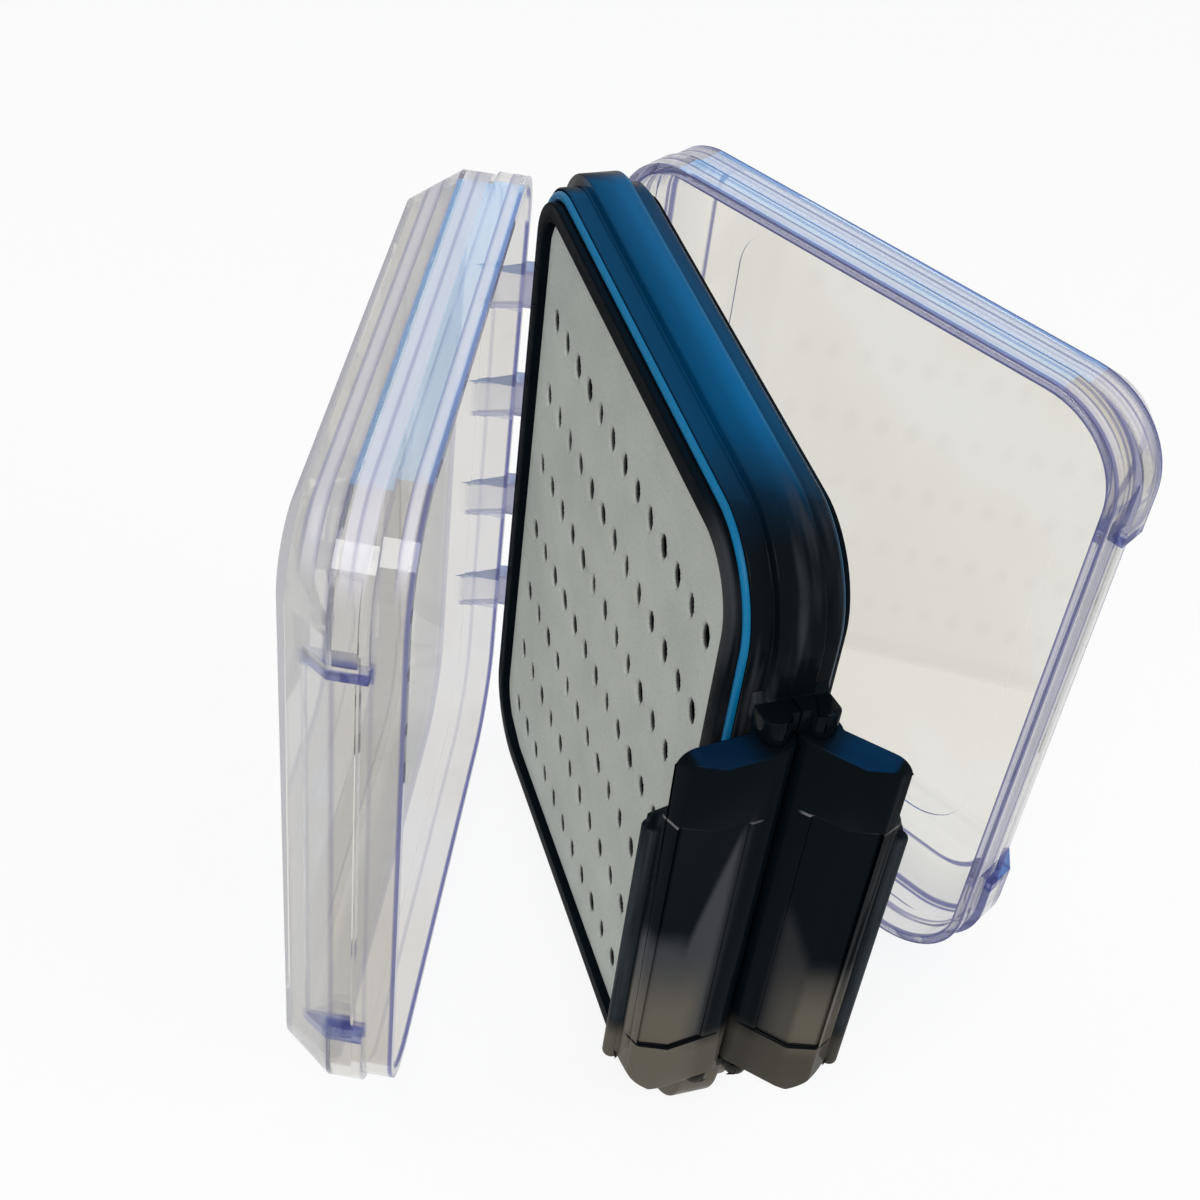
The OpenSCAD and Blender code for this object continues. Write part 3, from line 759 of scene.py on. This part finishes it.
class FLYBOX_OT_latches(bpy.types.Operator):
    """Rounds and finishes the two black latches"""

    bl_idname = "flybox.latches"
    bl_label = "Latches"

    def execute(self, context):
        sizes = context.scene.flybox_finish
        for side in ("left", "right"):
            node = "latch_" + side
            latch_finish(side, sizes).on(rounded_copy(node, sizes.latch_edge, node + "_body"))
        return {"FINISHED"}


class FLYBOX_OT_lids(bpy.types.Operator):
    """Finishes the two clear lids"""

    bl_idname = "flybox.lids"
    bl_label = "Lids"

    def execute(self, context):
        for side in ("left", "right"):
            lid_finish(side, context.scene.flybox_finish).on(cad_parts["lid_" + side])
        return {"FINISHED"}


class FLYBOX_OT_seals(bpy.types.Operator):
    """Finishes the two blue seal rings"""

    bl_idname = "flybox.seals"
    bl_label = "Seal rings"

    def execute(self, context):
        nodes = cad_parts
        seal_finish(context.scene.flybox_finish).on(nodes["ring_left"], nodes["ring_right"])
        return {"FINISHED"}


class FLYBOX_OT_pins(bpy.types.Operator):
    """Finishes the hinge pin and the latch pins"""

    bl_idname = "flybox.pins"
    bl_label = "Pins"

    def execute(self, context):
        pins = [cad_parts[name] for name in ("hinge_pin", "latch_pin_left", "latch_pin_right")]
        steel_finish(context.scene.flybox_finish).on(*pins)
        return {"FINISHED"}


def add_camera(scene):
    """The camera of the photograph, as a square picture."""
    camera = bpy.data.objects.new("camera", bpy.data.cameras.new("camera"))
    scene.collection.objects.link(camera)
    axes = Matrix((CAMERA_RIGHT, -CAMERA_DOWN, -CAMERA_AHEAD)).transposed()
    camera.rotation_mode = "QUATERNION"
    camera.rotation_quaternion = axes.to_quaternion()
    camera.location = CAMERA_PLACE
    camera.data.sensor_width = SENSOR
    camera.data.lens = SENSOR * FOCAL_PIXELS / PHOTO_PIXELS
    camera.data.clip_start, camera.data.clip_end = 0.01, 100.0
    scene.camera = camera


def add_world(scene):
    """A white room, dimmer for the rays that only light the box."""
    scene.world = bpy.data.worlds.new("studio")
    scene.world.use_nodes = True
    tree = scene.world.node_tree
    back = tree.nodes["Background"]
    back.inputs["Color"].default_value = (1.0, 1.0, 1.0, 1.0)
    light = shown(tree) * (1.0 - ROOM_LIGHT) + ROOM_LIGHT
    tree.links.new(light.socket, back.inputs["Strength"])


def add_floor():
    """A pale floor that shows almost as white as the room."""
    corners = np.array([[-1.0, -1.0, 0.0], [1.0, -1.0, 0.0], [1.0, 1.0, 0.0], [-1.0, 1.0, 0.0]])
    floor = make_piece("floor", corners * FLOOR_HALF - [0, 0, FLOOR_DROP], [(0, 1, 2, 3)], smooth=False)
    f = Finish("pale floor", Base_Color=(0.88, 0.88, 0.88), Roughness=0.9)
    glow = f.node("ShaderNodeEmission", {"Color": (1.0, 1.0, 1.0), "Strength": 1.0})
    f.blend(shown(f.tree) * FLOOR_GLOW, glow)
    f.on(floor)


def add_lamp(scene, name, place, size, watts, tint, meets):
    """A soft rectangular lamp that faces the box and isn't seen itself."""
    lamp = bpy.data.lights.new(name, "AREA")
    lamp.shape = "RECTANGLE"
    lamp.size, lamp.size_y = size
    lamp.energy = watts
    lamp.color = tint
    obj = bpy.data.objects.new(name, lamp)
    scene.collection.objects.link(obj)
    obj.location = place
    obj.rotation_mode = "QUATERNION"
    obj.rotation_quaternion = (LAMP_TARGET - obj.location).to_track_quat("-Z", "Y")
    obj.visible_camera = False
    obj.visible_diffuse = "diffuse" in meets
    obj.visible_glossy = "glossy" in meets
    obj.visible_transmission = "transmission" in meets


class FLYBOX_OT_stage(bpy.types.Operator):
    """Makes the camera, the room, the pale floor and the lamps"""

    bl_idname = "flybox.stage"
    bl_label = "Stage"

    def execute(self, context):
        scene = context.scene
        scene.view_settings.view_transform = "Standard"
        add_camera(scene)
        add_world(scene)
        add_floor()
        for name, settings in LAMPS.items():
            add_lamp(scene, name, *settings)
        return {"FINISHED"}


OPERATORS = (
    FLYBOX_OT_stage,
    FLYBOX_OT_foam,
    FLYBOX_OT_frame,
    FLYBOX_OT_latches,
    FLYBOX_OT_lids,
    FLYBOX_OT_seals,
    FLYBOX_OT_pins,
)


class FLYBOX_PT_panel(bpy.types.Panel):
    """Lists the fly box's sizes, colours and operators"""

    bl_idname = "FLYBOX_PT_panel"
    bl_label = "Fly Box"
    bl_space_type = "VIEW_3D"
    bl_region_type = "UI"
    bl_category = "Fly Box"

    def draw(self, context):
        for group in (context.scene.flybox_foam, context.scene.flybox_finish):
            column = self.layout.column()
            for key in group.__annotations__:
                column.prop(group, key)
        for operator in OPERATORS:
            self.layout.operator(operator.bl_idname)


CLASSES = (FlyBoxFoam, FlyBoxFinish, *OPERATORS, FLYBOX_PT_panel)


def register():
    for cls in CLASSES:
        bpy.utils.register_class(cls)
    bpy.types.Scene.flybox_foam = bpy.props.PointerProperty(type=FlyBoxFoam)
    bpy.types.Scene.flybox_finish = bpy.props.PointerProperty(type=FlyBoxFinish)


def unregister():
    del bpy.types.Scene.flybox_finish
    del bpy.types.Scene.flybox_foam
    for cls in reversed(CLASSES):
        bpy.utils.unregister_class(cls)


def main():
    """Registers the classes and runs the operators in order."""
    register()
    for operator in OPERATORS:
        family, name = operator.bl_idname.split(".")
        getattr(getattr(bpy.ops, family), name)()


if __name__ == "__main__":
    main()
